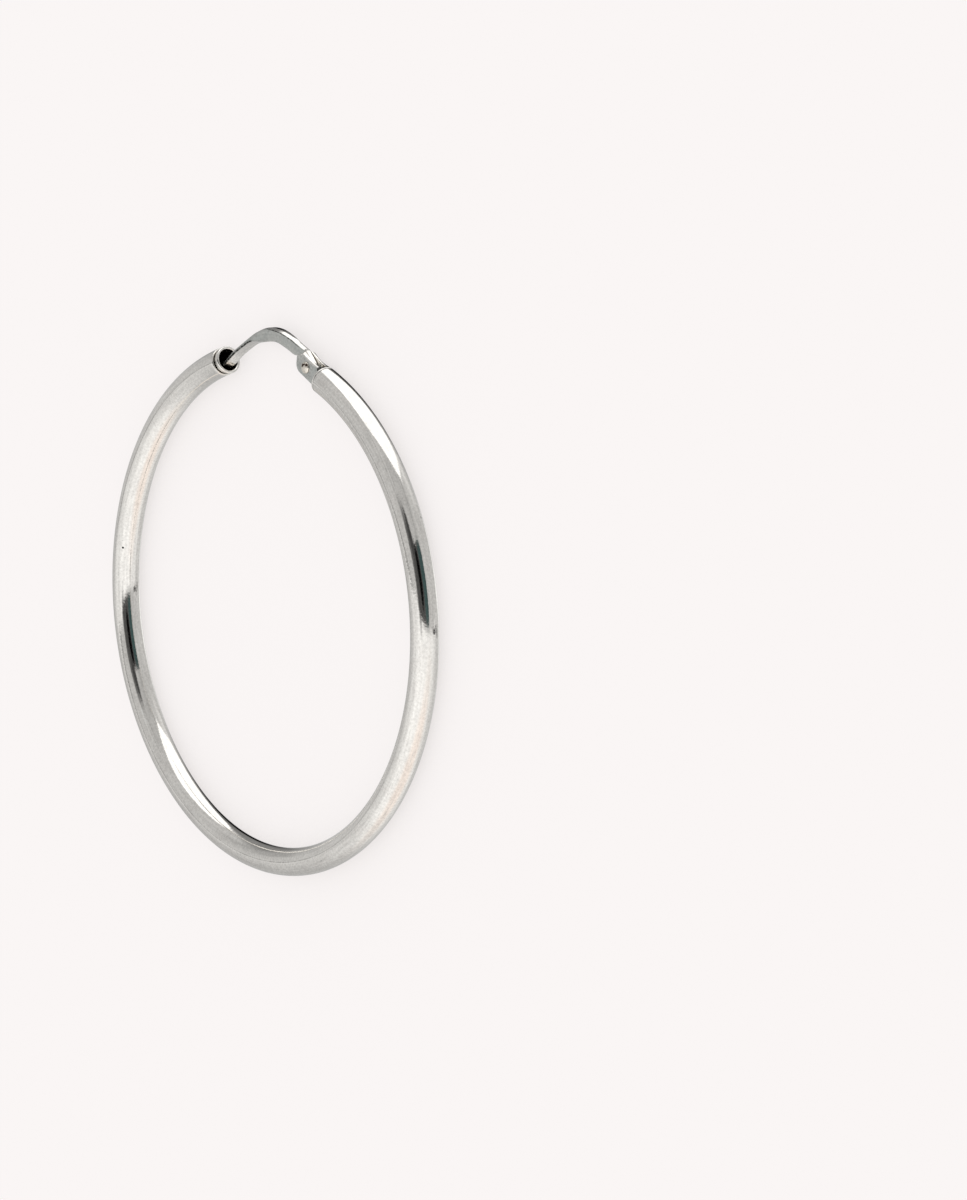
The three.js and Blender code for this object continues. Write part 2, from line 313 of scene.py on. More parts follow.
fork = {
    "plug": 0.954,
    "depth": 1.2,
    "radius": 1.08,
    "offset": 0.13,
    "tilt": 6.0,
    "spread": 1.3,  # over the two cheeks
    "slot": 0.62,
    "slotDepth": 0.35,
    "pivotRise": 0.3,
    "noseTip": (3.45, 0.75),
    "noseTop": (2.79, 1.4),
    "chin": (2.5, -0.5),
    "saddle": (1.15, 0.92),
    "root": 0.03,  # where the plug ends and the cheeks begin
    "rootTop": 1.15,
    "trim": 0.985,  # how far the cheeks reach towards where the bar meets the slot's wall
    "cheekMiddle": (1.55, 0.25),
    "bevel": 0.05,
    "topBevel": 0.25,  # along the hollowed top edge
    "soften": 0.035,
    "samples": 240,
    "hole": 0.32,
}


# A cheek is a plate between the slot's wall and the round bar that the fork is made from. Its rings shrink
# from its rounded outline towards a point inside it, and its outer height is the smaller of half the spread
# and sqrt(radius^2 - (y - the bar's middle)^2).
def cheekShell(side):
    inner, outer, radius = fork["slot"] / 2, fork["spread"] / 2, fork["radius"]
    slope = np.tan(np.radians(fork["tilt"]))
    low = -fork["trim"] * np.sqrt(radius ** 2 - inner ** 2) + fork["offset"]
    back, root = -fork["slotDepth"] - 0.05, fork["root"]
    plugHalf = fork["trim"] * np.sqrt(fork["plug"] ** 2 - inner ** 2)
    front = fork["noseTip"][0] - 0.1
    chin = bowed(fork["chin"], (front - 0.1, fork["chin"][1] + 0.1), (front, fork["pivotRise"]), 9)
    saddle = bowed(fork["noseTop"], fork["saddle"], (root, fork["rootTop"]), 13)
    outline = np.vstack([
        [[back, -plugHalf], [root, -plugHalf], [fork["chin"][0], low + slope * fork["chin"][0]]],
        chin,
        [fork["noseTip"]],
        saddle,
        [[root, plugHalf], [back, plugHalf]],
    ])
    loop = roundedLoops(outline[None], fork["samples"], fork["soften"])[0]
    middle = np.array(fork["cheekMiddle"])
    ray = loop - middle
    far = np.linalg.norm(ray, axis=1)
    upwards = np.clip((ray[:, 1] / far - 0.2) / 0.3, 0, 1)
    innerBevel = fork["bevel"]
    outerBevel = innerBevel + (fork["topBevel"] - innerBevel) * upwards
    corner = np.radians(np.linspace(0, 90, 6))[:, None]
    share = np.linspace(0.02, 1, 14)[:, None]
    # rings out over the slot's wall, round its edge, round the outer edge, and back in over the outer face
    reach = np.vstack([
        (far - innerBevel) * share, far - innerBevel * (1 - np.sin(corner[1:])),
        far - outerBevel * (1 - np.sin(corner[::-1])), (far - outerBevel) * share[::-1][1:],
    ])
    rise = np.vstack([0 * share, 1 - np.cos(corner[1:]), np.cos(corner[::-1]) - 1, 0 * share[1:]])
    isOuter = (np.arange(len(rise)) >= len(share) + len(corner) - 1)[:, None]
    p = middle + ray[None] * (reach / far)[..., None]
    inPlug = p[..., 0] < root / 2
    r = np.where(inPlug, fork["plug"], radius)
    y = p[..., 1] - np.where(inPlug, 0, fork["offset"] + slope * p[..., 0])
    top = np.clip(np.sqrt(np.maximum(r ** 2 - y ** 2, 0)), inner + 0.02, outer)
    outerEdge = np.minimum(outerBevel * 0.8, (top - inner) * 0.6)
    edge = np.where(isOuter, outerEdge, np.minimum(innerBevel, (top - inner) * 0.3))
    z = np.where(isOuter, top, inner) + rise * edge
    local = np.concatenate([p, side * z[..., None]], -1)
    # painted shade where the cheek leaves the tube and in the hollow above that, and dull with a darker
    # painted shade on the flat outer face
    groove = np.clip((0.15 - p[..., 0]) / 0.06, 0, 1) * 0.8
    hollow = np.clip((0.45 - p[..., 0]) / 0.2, 0, 1) * np.clip((p[..., 1] - 0.65) / 0.2, 0, 1)
    dullAndShade = isOuter * np.clip((far - outerBevel - reach) / 0.05 + 1, 0, 1)
    return shell(local @ hingeAxes + hingeSpot, local, tarnishAndShade=np.maximum(groove, hollow), dullAndShade=dullAndShade)


# The plug behind the slot, a round bar with softened ends
def forkPlugShell():
    low, high = -fork["depth"], -fork["slotDepth"]
    x = np.array([low, low, low + 0.01, low + 0.05, high - 0.05, high - 0.01, high, high])
    r = fork["plug"] - np.array([0.4, 0.05, 0.01, 0.0, 0.0, 0.01, 0.05, 0.4])
    turn = np.linspace(0, 2 * np.pi, 64, endpoint=False)[None]
    local = turned(x[:, None], r[:, None], turn)
    # painted shade: all of the plug inside the tube is painted near black
    return shell(local @ hingeAxes + hingeSpot, local, tarnishAndShade=1.0)


hingeFork = makePiece("hingeFork", [cheekShell(1), cheekShell(-1), forkPlugShell()])
drill(hingeFork, fork["hole"], 40)
print("hinge fork made")


# The rivet through the fork

rivet = {
    "shaft": 0.3,
    "head": 0.53,
    "headHeight": 0.22,
    "underHead": 0.67,
    "rows": 14,
    "columns": 64,
    # angle, distance from the middle, depth and size of each dent
    "dents": [
        (2.42, 0.28, 0.07, 0.13), (0.7, 0.4, 0.06, 0.12), (4.9, 0.3, 0.025, 0.06), (1.5, 0.3, 0.04, 0.09),
    ],
    "dentTarnishAndShade": 34,  # tarnish and painted shade for each millimetre of depth
    "rimFrom": 0.46,  # a thin painted shade begins at this radius
    "rimShade": 0.3,
}


# A turned profile of [radius, height]: dome, shaft, dome. Round dents go into the domes, and the depth of
# each falls off as exp(-(distance / size)^2).
def rivetShell():
    rise = np.radians(np.linspace(88, 0, rivet["rows"]))
    domeR, domeZ = rivet["head"] * np.cos(rise), rivet["underHead"] + rivet["headHeight"] * np.sin(rise)
    shaftR = [rivet["head"] - 0.02, rivet["shaft"] + 0.01, rivet["shaft"]]
    shaftZ = [rivet["underHead"], rivet["underHead"], rivet["underHead"] - 0.01]
    r = np.concatenate([domeR, shaftR])
    z = np.concatenate([domeZ, shaftZ])
    r, z = np.concatenate([r, r[::-1]])[:, None], np.concatenate([z, -z[::-1]])[:, None]
    turn = np.linspace(0, 2 * np.pi, rivet["columns"], endpoint=False)[None]
    x, y, z = np.broadcast_arrays(r * np.cos(turn), r * np.sin(turn), z)
    sink = np.zeros_like(x)
    for angle, away, depth, size in rivet["dents"]:
        gap = (x - away * np.cos(angle)) ** 2 + (y - away * np.sin(angle)) ** 2
        sink = sink + depth * np.exp(-gap / size ** 2)
    onDome = np.clip((np.abs(z) - rivet["underHead"]) / 0.08, 0, 1)
    local = np.stack([x, y, z - np.sign(z) * sink * onDome], -1)
    # painted shade: a dark ring round the head's edge; the dents are darkened by their depth, as specks and
    # painted shade
    rim = np.clip((np.hypot(x, y) - rivet["rimFrom"]) / 0.07, 0, 1) * rivet["rimShade"]
    return shell(local + pivot, local, tarnishAndShade=np.maximum(rim, sink * rivet["dentTarnishAndShade"] * onDome))


hingeRivet = makePiece("hingeRivet", [rivetShell()], sharpAngle=50)
print("rivet made")


# The ear wire on the rivet

wire = {
    "width": 1.08,  # across, from the top of the arch to the tip
    "limbWidth": 0.62,  # across, at the shoulder
    "widening": (0.8, 3.4),  # where the one becomes the other: from this station, over so many stations
    "height": 1.25,  # in the side view, which the stations take shares of
    "rise": 2.55,
    "eye": 0.68,
    "tongue": 0.54,  # thickness between the cheeks
    "tipHeight": 0.45,
    "tip": (0.52, -0.4258),  # middle of the tip from the tube's end
    "shoulderTop": (0.42, 1.43),
    "shoulderLow": (1.42, 0.95),
    "frontChamfer": (0.36, 0.14),  # across and down, at the upper front edge between shoulder and top
    "lowerChamfers": ((0.3, 0.2), (0.8, 0.1)),  # across and up, at the lower front edge towards the tip
    "edge": 0.1,
    "soften": 0.035,
    "rows": 260,
    "samples": 132,
    "hole": 0.34,
    # darkness of the painted shade lines
    "lineShade": 0.8,
    "shade": 0.25,  # painted shade of the front face towards the tip, as a share of the dark lines' painted shade
    # where each painted shade starts, is full, is still full and ends, counted in stations from the shoulder
    "creaseSpan": (0.5, 1.0, 3.4, 4.1),
    "lowerSpan": (5.2, 6.0, 10.0, 11.0),
    "backSpan": (1.8, 2.6, 4.8, 5.6),
    "shadeSpan": (4.6, 6.4, 10.0, 11.0),
    # share of the way from shoulder to mouth, share of rise, share of height
    "stations": [
        (0.0885, 0.59, 0.92), (0.18, 0.78, 0.94), (0.31, 0.98, 0.9), (0.444, 1.0, 0.98),
        (0.568, 0.875, 0.73), (0.666, 0.73, 0.47), (0.752, 0.54, 0.41), (0.86, 0.28, 0.39),
        (0.946, 0.02, 0.38),
    ],
}

# The wire's axes: from the rivet to the middle of the mouth, away from the hoop's centre, and across
mouthPoint = mouthSpot + ring["reach"] * mouthAxes[0]
wireSpan = np.linalg.norm(mouthPoint - pivot)
wireAlong = (mouthPoint - pivot) / wireSpan
wireAcross = np.array([0.0, 0.0, -1.0])
wireAxes = np.array([wireAlong, np.cross(wireAcross, wireAlong), wireAcross])


# The wire is a loft of sections. Each is a flat loop between a lower and an upper point of the side view, as
# wide as the wire is there. The eye's sections are chords of its circle, the neck's lie between the eye and
# the shoulder, and the rest between two smooth lines half the height to each side of the middle line.
def earWireShell():
    top, low = np.array(wire["shoulderTop"]), np.array(wire["shoulderLow"])
    stations = np.array(wire["stations"])
    start = (top[0] + low[0]) / 2
    middle = np.stack([start + (wireSpan - start) * stations[:, 0], wire["rise"] * stations[:, 1]], -1)
    tip = mouthSpot + wire["tip"][0] * mouthAxes[0] + wire["tip"][1] * mouthAxes[1]
    middle = np.vstack([middle, (tip - pivot) @ wireAxes[:2].T])
    heights = np.append(wire["height"] * stations[:, 2], wire["tipHeight"])
    slopes = np.gradient(middle, axis=0)
    slopes /= np.linalg.norm(slopes, axis=1, keepdims=True)
    normals = np.stack([-slopes[:, 1], slopes[:, 0]], -1)
    upperLine = np.vstack([top, middle + normals * heights[:, None] / 2])
    lowerLine = np.vstack([low, middle - normals * heights[:, None] / 2])
    # the eye
    leanTop = np.arctan2(top[1], top[0]) + np.arccos(wire["eye"] / np.linalg.norm(top))
    leanLow = np.arctan2(low[1], low[0]) - np.arccos(wire["eye"] / np.linalg.norm(low))
    far = (leanTop + leanLow) / 2 + np.pi
    opened = np.linspace(0.16, 1, 26) ** 1.3
    angleTop = far + (leanTop - far) * opened
    angleLow = far + (leanLow + 2 * np.pi - far) * opened
    eyeTop = wire["eye"] * np.stack([np.cos(angleTop), np.sin(angleTop)], -1)
    eyeLow = wire["eye"] * np.stack([np.cos(angleLow), np.sin(angleLow)], -1)
    # the neck, up to the shoulder
    neck = np.linspace(0, 1, 14)[1:, None]
    neckTop, neckLow = eyeTop[-1] + (top - eyeTop[-1]) * neck, eyeLow[-1] + (low - eyeLow[-1]) * neck
    # the body, with six close rows at each end where it is rounded over
    last = len(upperLine) - 1
    close = np.array([0.0, 0.0, 0.002, 0.008, 0.02, 0.035])
    t = np.concatenate([close, np.linspace(0.05, last - 0.05, wire["rows"]), last - close[::-1]])
    bodyTop, bodyLow = throughPoints(upperLine, t), throughPoints(lowerLine, t)
    upper, lower = np.vstack([eyeTop, neckTop, bodyTop]), np.vstack([eyeLow, neckLow, bodyLow])
    thin, limb, wide = wire["tongue"] / 2, wire["limbWidth"] / 2, wire["width"] / 2
    grow = np.array([0.35, 0.75, 0.87, 0.94, 0.98, 0.995])
    shrink = 1 - np.array([0.0, 0.002, 0.012, 0.04, 0.09, 0.25])
    widened = np.clip((t - wire["widening"][0]) / wire["widening"][1], 0, 1)
    bodyHalf = limb + (wide - limb) * widened ** 2 * (3 - 2 * widened)
    bodyHalf[:6] = thin + (bodyHalf[:6] - thin) * grow
    bodyHalf[-6:] *= shrink
    half = np.append(np.full(len(eyeTop) + len(neckTop), thin), bodyHalf)
    inset = np.concatenate([np.zeros(len(upper) - 6), 1 - shrink])[:, None] * 0.5
    upper, lower = upper + (lower - upper) * inset, lower + (upper - lower) * inset
    deep = np.linalg.norm(upper - lower, axis=1)
    t = np.concatenate([np.zeros(len(upper) - len(t)), t])
    edge, small = wire["edge"], np.minimum(wire["edge"] * 0.6, deep * 0.3)
    chamfered = np.clip(5.0 - t, 0, 1) * np.clip(t / 0.4, 0, 1)
    cuts = [np.minimum(edge + (size - edge) * chamfered, half) for size in wire["frontChamfer"]]
    cutAcross, cutDown = cuts[0], np.minimum(cuts[1], deep * 0.5)
    lifted = np.clip((t - 4.4) / 1.2, 0, 1)
    (nearAcross, nearUp), (farAcross, farUp) = wire["lowerChamfers"]
    zero = np.zeros_like(half)
    section = np.stack([
        np.stack([half - small, zero], -1), np.stack([half, small], -1),
        np.stack([half, deep - np.minimum(edge, deep * 0.4)], -1),
        np.stack([half - np.minimum(edge, half * 0.4), deep], -1),
        np.stack([cutAcross - half, deep], -1), np.stack([-half, deep - cutDown], -1),
        np.stack([-half, small + (nearUp - small) * lifted], -1),
        np.stack([small - half + (nearAcross - small) * lifted, (nearUp - farUp) * lifted], -1),
        np.stack([2 * small - half + (farAcross - 2 * small) * lifted, zero], -1),
    ], 1)
    loops = roundedLoops(section, wire["samples"], np.minimum(wire["soften"], deep * 0.12))
    across, up = loops[..., :1], loops[..., 1:]
    plane = lower[:, None] + (upper - lower)[:, None] * up / deep[:, None, None]
    local = np.concatenate([plane, across], -1)
    middleLine = (upper + lower) / 2
    s = np.append(0, np.cumsum(np.linalg.norm(np.diff(middleLine, axis=0), axis=1)))
    along = np.broadcast_to(s[:, None, None], across.shape)
    straight = np.concatenate([along, up - deep[:, None, None] / 2, across], -1)
    # painted shade as dark lines: under the upper front edge towards the shoulder, along the lower front
    # edge towards the tip, along the upper back edge over the top, and over the front face towards the tip.
    # The flat sides are dull, with a darker painted shade.
    across, up = across[..., 0], up[..., 0]
    half, deep, cutDown, lifted, t = (values[:, None] for values in (half, deep, cutDown, lifted, t))
    isFront = np.clip((-across - 0.8 * half) / (0.1 * half), 0, 1)
    crease = isFront * np.exp(-((up - deep + cutDown + 0.03) / 0.05) ** 2) * faded(t, *wire["creaseSpan"])
    lowerCorner = np.hypot(across + half, up - nearUp * lifted - 0.02)
    lowerLine = np.exp(-(lowerCorner / 0.1) ** 2) * faded(t, *wire["lowerSpan"])
    backLine = np.exp(-((across - half) / 0.09) ** 2 - ((up - deep) / 0.09) ** 2)
    backLine = backLine * faded(t, *wire["backSpan"])
    shaded = isFront * faded(t, *wire["shadeSpan"]) * wire["shade"]
    tarnishAndShade = wire["lineShade"] * np.clip(crease + lowerLine + backLine + shaded, 0, 1) * (t > 0)
    side = np.clip((np.abs(across) - half + 0.08) / 0.04, 0, 1) * (t > 0)
    return shell(local @ wireAxes + pivot, straight, tarnishAndShade=tarnishAndShade, dullAndShade=side)


earWire = makePiece("earWire", [earWireShell()])
drill(earWire, wire["hole"], 40)
print("ear wire made")


# A node with its settings, and with inputs given as values or as sockets to link
def addNode(tree, kind, inputs=None, **settings):
    made = tree.nodes.new(kind)
    for key, value in settings.items():
        setattr(made, key, value)
    for key, value in (inputs or {}).items():
        if isinstance(value, bpy.types.NodeSocket):
            tree.links.new(value, made.inputs[key])
        else:
            made.inputs[key].default_value = value
    return made


def calc(tree, operation, *values):
    return addNode(tree, "ShaderNodeMath", dict(enumerate(values)), operation=operation).outputs[0]


# A value brought from one range to another, with soft ends
def ramped(tree, value, fromMin, fromMax, toMin, toMax):
    inputs = {0: value, 1: fromMin, 2: fromMax, 3: toMin, 4: toMax}
    return addNode(tree, "ShaderNodeMapRange", inputs, interpolation_type="SMOOTHSTEP").outputs[0]


def vectorCalc(tree, operation, *values):
    return addNode(tree, "ShaderNodeVectorMath", dict(enumerate(values)), operation=operation).outputs


def noise(tree, place, scale, detail):
    inputs = {"Vector": place, "Scale": scale, "Detail": detail}
    return addNode(tree, "ShaderNodeTexNoise", inputs).outputs[0]


def mixed(tree, share, first, second):
    return addNode(tree, "ShaderNodeMix", {0: share, 6: first, 7: second}, data_type="RGBA").outputs[2]


def newGroup(name, inputs, outputs):
    tree = bpy.data.node_groups.new(name, "ShaderNodeTree")
    for label, value in inputs.items():
        kind = "NodeSocketVector" if isinstance(value, tuple) else "NodeSocketFloat"
        tree.interface.new_socket(label, in_out="INPUT", socket_type=kind).default_value = value
    for label in outputs:
        tree.interface.new_socket(label, in_out="OUTPUT", socket_type="NodeSocketFloat")
    return tree, tree.nodes.new("NodeGroupInput").outputs, tree.nodes.new("NodeGroupOutput").inputs


def useGroup(tree, group, inputs):
    return addNode(tree, "ShaderNodeGroup", inputs, node_tree=group).outputs


# Relief in hundredths of a millimetre, and a mottle round 0. Both are made of fine grain and of drawn lines
# along the piece, and the relief also of a slow swell.
def makeGrain():
    inputs = {"Vector": (0.0, 0.0, 0.0), "Grain": 0.5, "Lines": 0.5, "Swell": 0.5}
    tree, given, result = newGroup("silverGrain", inputs, ["Height", "Mottle"])
    fine = noise(tree, given["Vector"], 4.8, 2.0)
    drawn = vectorCalc(tree, "MULTIPLY", given["Vector"], (0.3, 5.0, 5.0))[0]
    lines = noise(tree, drawn, 1.0, 3.0)
    slow = noise(tree, given["Vector"], 0.6, 1.0)
    height = calc(tree, "MULTIPLY", fine, given["Grain"])
    height = calc(tree, "MULTIPLY_ADD", lines, given["Lines"], height)
    height = calc(tree, "MULTIPLY_ADD", slow, given["Swell"], height)
    tree.links.new(height, result["Height"])
    mottle = calc(tree, "MULTIPLY", calc(tree, "SUBTRACT", fine, 0.5), given["Grain"])
    mottle = calc(tree, "MULTIPLY_ADD", calc(tree, "SUBTRACT", lines, 0.5), given["Lines"], mottle)
    tree.links.new(mottle, result["Mottle"])
    return tree


# Tarnish and painted shade broken up where they are thin, and clouded smudges
def makeTarnishAndShade():
    inputs = {"Vector": (0.0, 0.0, 0.0), "TarnishAndShade": 0.0, "Smudge": 0.3}
    tree, given, result = newGroup("silverTarnishAndShade", inputs, ["TarnishAndShade", "Smudge"])
    cloud = noise(tree, given["Vector"], 0.9, 4.0)
    smudge = calc(tree, "MULTIPLY", ramped(tree, cloud, 0.42, 0.72, 0.0, 1.0), given["Smudge"])
    flecks = noise(tree, given["Vector"], 4.5, 2.0)
    broken = calc(tree, "MULTIPLY", given["TarnishAndShade"], ramped(tree, flecks, 0.3, 0.65, 0.65, 1.25))
    tree.links.new(ramped(tree, broken, 0.05, 1.0, 0.0, 1.0), result["TarnishAndShade"])
    tree.links.new(smudge, result["Smudge"])
    return tree


# A small pit or scratch: 1 within its half size round a middle on the straightened piece
def makePitMark():
    inputs = {"Vector": (0.0, 0.0, 0.0), "Middle": (0.0, 0.0, 0.0), "Half size": (0.1, 0.1, 0.1)}
    tree, given, result = newGroup("pitMark", inputs, ["Mark"])
    away = vectorCalc(tree, "SUBTRACT", given["Vector"], given["Middle"])[0]
    away = vectorCalc(tree, "DIVIDE", away, given["Half size"])[0]
    far = vectorCalc(tree, "LENGTH", away)["Value"]
    tree.links.new(ramped(tree, far, 0.5, 1.3, 1.0, 0.0), result["Mark"])
    return tree


grainGroup = makeGrain()
tarnishAndShadeGroup = makeTarnishAndShade()
pitGroup = makePitMark()


# Silver between polished and dull. A look is its colours, its roughness and the amounts of each effect.
def silverMaterial(name, look):
    material = bpy.data.materials.new(name)
    material.use_nodes = True
    tree = material.node_tree
    tree.nodes.clear()
    straight = addNode(tree, "ShaderNodeAttribute", attribute_name="straight").outputs["Vector"]
    tarnishAndShade = addNode(tree, "ShaderNodeAttribute", attribute_name="tarnishAndShade").outputs["Fac"]
    dullAndShade = addNode(tree, "ShaderNodeAttribute", attribute_name="dullAndShade").outputs["Fac"]
    for middle, halfSize, darkness in look["pits"]:
        pit = useGroup(tree, pitGroup, {"Vector": straight, "Middle": middle, "Half size": halfSize})
        tarnishAndShade = calc(tree, "MAXIMUM", tarnishAndShade, calc(tree, "MULTIPLY", pit["Mark"], darkness))
    worn = useGroup(tree, tarnishAndShadeGroup, {"Vector": straight, "TarnishAndShade": tarnishAndShade, "Smudge": look["smudge"]})
    grain = useGroup(tree, grainGroup, {
        "Vector": straight, "Grain": look["grain"], "Lines": look["lines"], "Swell": look["swell"]})
    # painted shade: the dull flat faces take a darker colour; they are also rougher
    colour = mixed(tree, dullAndShade, look["colour"], look["dulledShade"])
    colour = mixed(tree, worn["Smudge"], colour, look["smudged"])
    shade = calc(tree, "MULTIPLY_ADD", grain["Mottle"], look["mottle"], 1.0)
    colour = addNode(tree, "ShaderNodeVectorMath", {0: colour, "Scale": shade}, operation="SCALE").outputs[0]
    # painted shade and tarnish: the marked places go nearly black
    colour = mixed(tree, worn["TarnishAndShade"], colour, look["tarnishAndShadeColour"])
    rough = calc(tree, "MULTIPLY_ADD", worn["Smudge"], look["smudgeRoughens"], look["roughness"])
    rough = calc(tree, "MULTIPLY_ADD", dullAndShade, look["dullRoughness"] - look["roughness"], rough)
    rough = calc(tree, "MULTIPLY_ADD", worn["TarnishAndShade"], look["tarnishAndShadeRoughens"], rough)
    bump = addNode(tree, "ShaderNodeBump", {
        "Strength": 1.0, "Distance": 0.01 * mm * look["relief"], "Height": grain["Height"]})
    surface = addNode(tree, "ShaderNodeBsdfPrincipled", {
        "Base Color": colour, "Metallic": 1.0, "Roughness": rough, "Normal": bump.outputs[0]})
    output = addNode(tree, "ShaderNodeOutputMaterial")
    tree.links.new(surface.outputs[0], output.inputs[0])
    return material


plainSilver = {
    "colour": (0.882, 0.857, 0.815, 1.0),
    "smudged": (0.8, 0.755, 0.715, 1.0),
    # painted shade: the next colour darkens the dull flat faces, and the one after paints tarnish and shade
    # near black
    "dulledShade": (0.56, 0.575, 0.55, 1.0),
    "tarnishAndShadeColour": (0.02, 0.02, 0.018, 1.0),
    "roughness": 0.06,
    "dullRoughness": 0.3,
    "smudgeRoughens": 0.15,
    "tarnishAndShadeRoughens": 0.3,
    "grain": 0.5,
    "lines": 0.4,
    "swell": 1.0,
    "smudge": 0.25,
    "mottle": 1.05,
    "relief": 0.6,
    "pits": [],
}
# Changes from the plain silver for each piece. A pit has its middle and its half size on the straightened
# piece, and its darkness.
looks = {
    hoopTube: ("tube_silver", {"pits": [
        ((25.05, -0.761, 0.992), (0.11, 0.11, 0.11), 0.95),
        ((109.29, 1.128, -0.538), (0.12, 0.08, 0.08), 0.6),
        ((100.14, 1.241, -0.152), (0.1, 0.08, 0.12), 0.5),
        ((80.94, 0.852, 0.914), (0.07, 0.3, 0.3), 0.3),
        ((73.0, 0.518, 1.137), (0.16, 0.1, 0.06), 0.5),
        ((24.35, -0.67, 1.05), (0.06, 0.16, 0.1), 0.35),
    ]}),
    mouthRing: ("ring_silver", {"roughness": 0.14}),
    hingeFork: ("fork_silver", {"roughness": 0.14, "smudge": 0.3, "mottle": 1.5, "relief": 1.0}),
    hingeRivet: ("rivet_silver", {
        "roughness": 0.22, "smudge": 0.3,
        "colour": (0.94, 0.88, 0.78, 1.0), "tarnishAndShadeColour": (0.07, 0.045, 0.035, 1.0),
    }),
    earWire: ("wire_silver", {"roughness": 0.1, "smudge": 0.2, "mottle": 1.1, "relief": 0.9}),
}
for piece, (slotName, changes) in looks.items():
    piece.data.materials.clear()
    piece.data.materials.append(silverMaterial(slotName, {**plainSilver, **changes}))
for piece, nodeName in [
    (hoopTube, "hoop_tube"), (mouthRing, "mouth_ring"), (hingeFork, "hinge_fork"),
    (hingeRivet, "hinge_rivet"), (earWire, "ear_wire"),
]:
    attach(piece, "ear_wire" if piece is earWire else "hoop")
    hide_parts(nodeName)
print("silver given to", len(looks), "pieces")


# Light of a card so that it shows in the silver as a given grey level of 0 to 255
def shownAs(level):
    share = np.asarray(level, float) / 255
    return np.where(share > 0.04045, ((share + 0.055) / 1.055) ** 2.4, share / 12.92) / 0.86


def greyCard(level):
    rgb = np.ones(3) * shownAs(level)
    return (*rgb, 1.0)


# A soft-edged card in the room. Its mask falls from 1 to 0 where
# (|aside / half width|^p + |up / half height|^p)^(1/p) goes past 1, so a squareness p of 2 makes an ellipse
# and 5 nearly a rectangle.
def makeCardGroup():
    tree, given, result = newGroup("softCard", {
        "Azimuth": 0.0, "Elevation": 0.0, "Middle azimuth": 0.0, "Middle elevation": 0.0,
        "Half width": 10.0, "Half height": 10.0, "Softness": 0.2, "Squareness": 2.0, "Slant": 0.0,
    }, ["Mask"])
    up = calc(tree, "SUBTRACT", given["Elevation"], given["Middle elevation"])
    aside = calc(tree, "SUBTRACT", given["Azimuth"], given["Middle azimuth"])
    aside = calc(tree, "SUBTRACT", aside, calc(tree, "MULTIPLY", up, given["Slant"]))
    aside = calc(tree, "ABSOLUTE", calc(tree, "WRAP", aside, 180.0, -180.0))
    up = calc(tree, "ABSOLUTE", up)
    powers = [
        calc(tree, "POWER", calc(tree, "DIVIDE", distance, half), given["Squareness"])
        for distance, half in ((aside, given["Half width"]), (up, given["Half height"]))
    ]
    far = calc(tree, "POWER", calc(tree, "ADD", *powers), calc(tree, "DIVIDE", 1.0, given["Squareness"]))
    near, end = calc(tree, "SUBTRACT", 1.0, given["Softness"]), calc(tree, "ADD", 1.0, given["Softness"])
    tree.links.new(ramped(tree, far, near, end, 1.0, 0.0), result["Mask"])
    return tree


# Grey level in the silver, middle azimuth and elevation, half width and height in degrees, softness,
# squareness and slant
cards = [
    (240, 312, 38, 60, 60, 0.5, 2.2, 0),  # the bright side
    ((236, 226, 220), 300, -2, 36, 26, 0.6, 2, 0),
    (194, 285, -78, 90, 30, 0.35, 3, 0),
    (205, 356.5, 0, 1.5, 44, 0.3, 4, 0),  # its seams
    (20, 353.2, -46, 1.3, 17, 0.4, 3, 0.16),
    (60, 339, -71, 2.5, 9, 0.4, 3, 1.6),
    (205, 308, 0, 45, 1, 0.5, 4, 0),
    (184, 93.5, 0, 96.5, 200, 0.012, 8, 0),  # the grey side, from the bright one's edge to its other edge
    (172, 55, 30, 22, 30, 0.4, 2.5, 0),
    (168, 38, 5, 12, 16, 0.5, 2, 0),
    (160, 150, 10, 15, 26, 0.5, 2.5, 0),
    (202, 192, 0, 17, 37, 0.6, 2.5, 0),
    (174, 216, -10, 42, 48, 0.6, 2, 0),  # far from the camera, at the silhouettes
    (140, 188.5, 52, 1.6, 24, 0.5, 3, 0),
    (116, 148, -36, 25, 26, 0.35, 2.5, 0),  # dark low band
    (8, 162, -43, 21, 13, 0.5, 2, 0),
    (126, 143, -10, 12, 22, 0.5, 2, 0),
    (236, 192, -70, 22, 14, 0.3, 2, 0),
    (208, 88, -46, 30, 17, 0.5, 2, 0),
    (268, 91, -12, 34, 44, 0.06, 1.45, 0),  # the large window
    (268, 105, -30, 22, 28, 0.08, 2, 0),
    (135, 63, 52, 1.4, 9, 0.5, 3, -0.94),
    (140, 88, 53.5, 1.5, 13, 0.5, 3, -0.7),
    (145, 48, 0.5, 3, 6, 0.5, 3, -2.2),
    (92, 30, 67, 40, 11, 0.35, 3, 0),
    (64, 40, 52, 16, 11, 0.35, 2, 0),
    (74, 15, 34.5, 17, 37, 0.05, 6, 0),  # the dark thing by the camera
    ((58, 77, 77), 15, 11, 16, 13, 0.2, 4, 0),
    (5, 19, 39, 15, 11, 0.2, 2.2, 0),
]

# What is where no card is, the light on the rough paper, and the backdrop that the camera sees
studio = {
    "plainGrey": 221,
    "light": (1.06, 1.06, 1.06, 1.0),
    "backdrop": (0.956, 0.92, 0.913, 1.0),
    "floorReach": 2.0,  # metres
}

